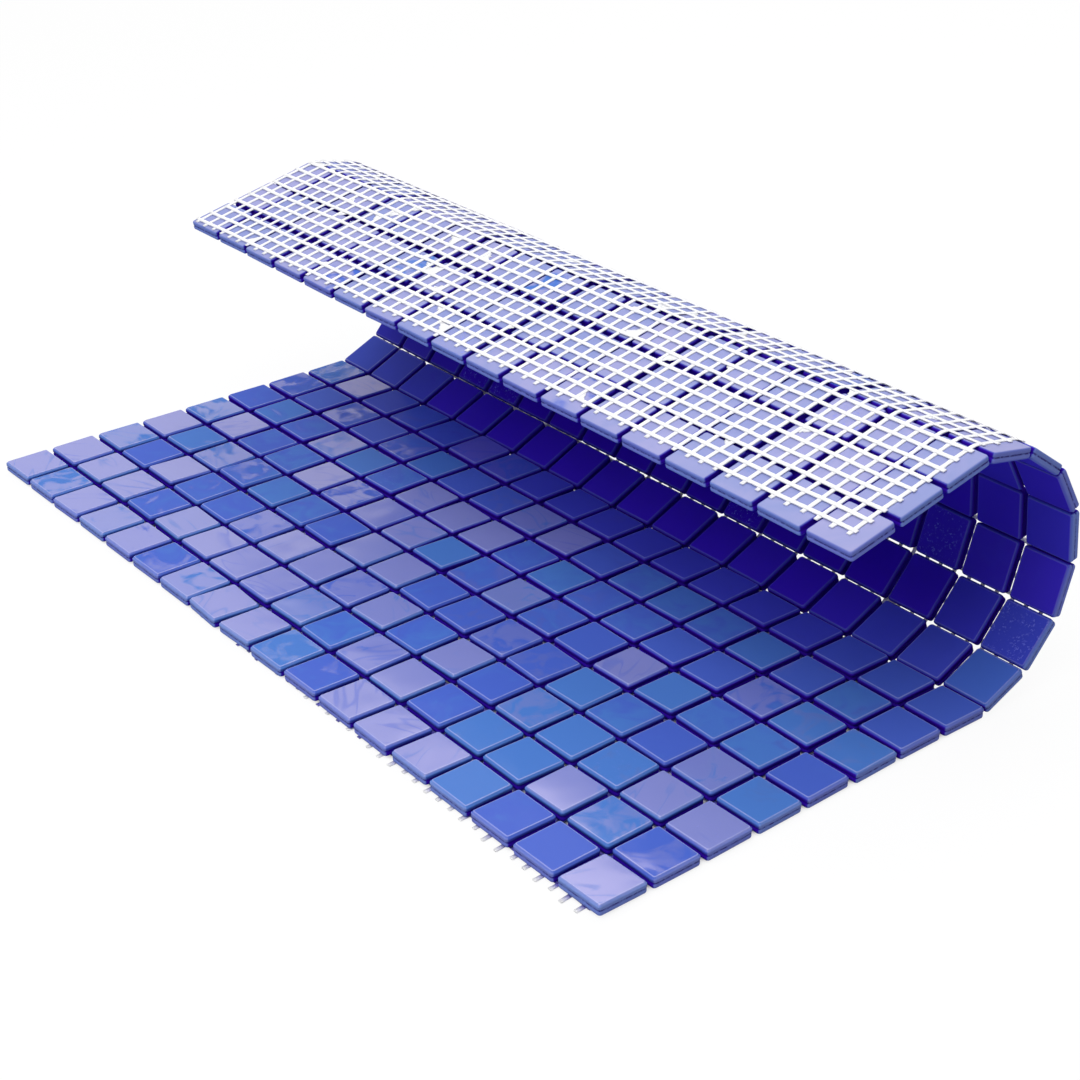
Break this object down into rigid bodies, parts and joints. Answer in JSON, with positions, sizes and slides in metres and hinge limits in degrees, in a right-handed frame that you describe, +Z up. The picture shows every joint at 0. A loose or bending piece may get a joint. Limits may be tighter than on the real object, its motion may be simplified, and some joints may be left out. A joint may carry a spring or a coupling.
{
  "type": "glass mosaic tile sheet",
  "caption": "Sheet of small square bevelled glass mosaic tiles on an open glass-fibre net, lying face up with one end curled back over itself.",
  "frame": {"origin": "on the floor under the middle of the flat part, on the underside of a weft yarn", "axes": "+X across the sheet, +Y along it towards the curl, +Z up, out of the flat tiles' faces"},
  "size_m": [0.2982, 0.1671, 0.0798],
  "materials": {
    "glass": "glossy opaque cobalt-blue glass with a faint lilac iridescence",
    "net": "matt white resin-coated glass-fibre yarn"
  },
  "bodies": {
    "root": {"tile_row_01": "glass", "tile_row_02": "glass", "tile_row_03": "glass", "tile_row_04": "glass", "tile_row_05": "glass", "tile_row_06": "glass", "tile_row_07": "glass", "tile_row_08": "glass", "tile_row_09": "glass", "tile_row_10": "glass", "tile_row_11": "glass", "tile_row_12": "glass", "tile_row_13": "glass", "tile_row_14": "glass", "tile_row_15": "glass", "tile_row_16": "glass", "tile_row_17": "glass", "tile_row_18": "glass", "net_warps": "net", "net_wefts": "net"}
  },
  "joints": []
}
